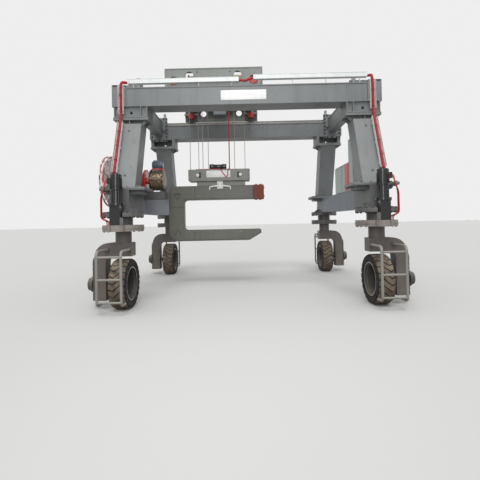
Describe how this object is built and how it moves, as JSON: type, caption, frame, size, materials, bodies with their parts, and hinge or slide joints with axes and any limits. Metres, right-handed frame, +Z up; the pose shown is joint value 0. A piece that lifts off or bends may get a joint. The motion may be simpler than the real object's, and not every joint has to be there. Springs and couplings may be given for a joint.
{
  "type": "rubber tyred gantry crane",
  "caption": "Four-legged gantry crane on steered rubber tyres, with twin box girders, a rope hoist trolley and a C-hook for coils.",
  "frame": {"origin": "on the ground in the middle of the crane, between the four tyres", "axes": "+X along the girders to the right, +Y to the rear, +Z up"},
  "size_m": [6.619, 6.05, 5.741],
  "materials": {
    "frame_paint": "semi-matt grey machine paint, slightly dusty",
    "dark_paint": "semi-matt near-black machine paint",
    "fork_paint": "semi-matt brownish grey paint with dust and rust",
    "guard_grey": "grey painted tube",
    "rail_steel": "worn bright on the running face",
    "tyre_rubber": "dusty black rubber",
    "tray_white": "white coated sheet steel",
    "coupling_bronze": "brown oxidised casting with fins",
    "reel_white": "white paint with red bands",
    "cabinet_grey": "light grey-green powder coat",
    "wheel_red": "red painted hubs, steel treads",
    "rope_steel": "greased wire rope",
    "bracket_white": "white painted steel",
    "hook_paint": "greenish grey paint, scratched",
    "rusty_iron": "rust-brown cast plates",
    "cable_red": "red rubber cable sheath",
    "motor_black": "glossy black enamel",
    "drive_red": "red gloss paint",
    "motor_blue": "blue-grey machine enamel"
  },
  "bodies": {
    "root": {"front_girder": "frame_paint", "rear_girder": "frame_paint", "tie_beams": "frame_paint", "rails": "rail_steel", "legs": "frame_paint", "left_sill": "frame_paint", "right_sill": "frame_paint", "cable_trays": "tray_white", "cable_bundles": "cable_red", "reel_stand": "dark_paint", "reel_drive": "drive_red", "reel_coupling": "coupling_bronze", "reel_motor": "motor_blue", "electrical_cabinets": "cabinet_grey", "steering_gears": "dark_paint", "steering_motors": "motor_black"},
    "steer_front_left": {"front_left_fork": "fork_paint", "front_left_guard": "guard_grey", "front_left_hub_drive": "dark_paint"},
    "wheel_front_left": {"front_left_rim": "dark_paint", "front_left_tyre": "tyre_rubber"},
    "steer_front_right": {"front_right_fork": "fork_paint", "front_right_guard": "guard_grey", "front_right_hub_drive": "dark_paint"},
    "wheel_front_right": {"front_right_rim": "dark_paint", "front_right_tyre": "tyre_rubber"},
    "steer_rear_left": {"rear_left_fork": "fork_paint", "rear_left_guard": "guard_grey", "rear_left_hub_drive": "dark_paint"},
    "wheel_rear_left": {"rear_left_rim": "dark_paint", "rear_left_tyre": "tyre_rubber"},
    "steer_rear_right": {"rear_right_fork": "fork_paint", "rear_right_guard": "guard_grey", "rear_right_hub_drive": "dark_paint"},
    "wheel_rear_right": {"rear_right_rim": "dark_paint", "rear_right_tyre": "tyre_rubber"},
    "reel": {"cable_reel": "reel_white"},
    "trolley": {"front_side_panel": "frame_paint", "rear_side_panel": "frame_paint", "trolley_frame": "frame_paint", "trolley_box": "motor_blue", "hoist_gear": "dark_paint", "hoist_ropes": "rope_steel"},
    "trolley_wheels_left": {"left_trolley_wheels": "wheel_red"},
    "trolley_wheels_right": {"right_trolley_wheels": "wheel_red"},
    "drum": {"rope_drum": "dark_paint"},
    "hook": {"hook_block": "dark_paint", "hook_cable": "cable_red", "hook_bracket": "bracket_white", "c_hook": "hook_paint", "counterweight": "rusty_iron"}
  },
  "joints": [
    {"name": "front_left_steering", "type": "hinge", "parent": "root", "child": "steer_front_left", "pos_m": [-2.6, -2.31, 1.58], "axis": [0, 0, 1], "range_deg": [-90, 90]},
    {"name": "front_left_roll", "type": "hinge", "parent": "steer_front_left", "child": "wheel_front_left", "pos_m": [-2.6, -2.31, 0.505], "axis": [1, 0, 0], "continuous": true},
    {"name": "front_right_steering", "type": "hinge", "parent": "root", "child": "steer_front_right", "pos_m": [2.6, -2.31, 1.58], "axis": [0, 0, 1], "range_deg": [-90, 90]},
    {"name": "front_right_roll", "type": "hinge", "parent": "steer_front_right", "child": "wheel_front_right", "pos_m": [2.6, -2.31, 0.505], "axis": [1, 0, 0], "continuous": true},
    {"name": "rear_left_steering", "type": "hinge", "parent": "root", "child": "steer_rear_left", "pos_m": [-2.6, 2.31, 1.58], "axis": [0, 0, 1], "range_deg": [-90, 90]},
    {"name": "rear_left_roll", "type": "hinge", "parent": "steer_rear_left", "child": "wheel_rear_left", "pos_m": [-2.6, 2.31, 0.505], "axis": [1, 0, 0], "continuous": true},
    {"name": "rear_right_steering", "type": "hinge", "parent": "root", "child": "steer_rear_right", "pos_m": [2.6, 2.31, 1.58], "axis": [0, 0, 1], "range_deg": [-90, 90]},
    {"name": "rear_right_roll", "type": "hinge", "parent": "steer_rear_right", "child": "wheel_rear_right", "pos_m": [2.6, 2.31, 0.505], "axis": [1, 0, 0], "continuous": true},
    {"name": "reel_turn", "type": "hinge", "parent": "root", "child": "reel", "pos_m": [-2.69, -1.22, 2.73], "axis": [1, 0, 0], "continuous": true},
    {"name": "trolley_travel", "type": "slide", "parent": "root", "child": "trolley", "axis": [1, 0, 0], "range_m": [-0.1, 1.9]},
    {"name": "left_trolley_wheels_turn", "type": "hinge", "parent": "trolley", "child": "trolley_wheels_left", "pos_m": [-1.6675, 0, 5.003], "axis": [0, 1, 0], "range_deg": [-60, 640]},
    {"name": "right_trolley_wheels_turn", "type": "hinge", "parent": "trolley", "child": "trolley_wheels_right", "pos_m": [0.1775, 0, 5.003], "axis": [0, 1, 0], "range_deg": [-60, 640]},
    {"name": "drum_turn", "type": "hinge", "parent": "trolley", "child": "drum", "pos_m": [-0.745, 0, 5.521], "axis": [1, 0, 0], "range_deg": [-720, 760]},
    {"name": "hoist", "type": "slide", "parent": "trolley", "child": "hook", "axis": [0, 0, 1], "range_m": [-1.1, 1.2], "deforming": ["hoist_ropes"]}
  ],
  "couplings": [
    {"joint": "left_trolley_wheels_turn", "follows": "trolley_travel", "rad_per_m": 5.618},
    {"joint": "right_trolley_wheels_turn", "follows": "trolley_travel", "rad_per_m": 5.618},
    {"joint": "drum_turn", "follows": "hoist", "rad_per_m": 10.638}
  ]
}
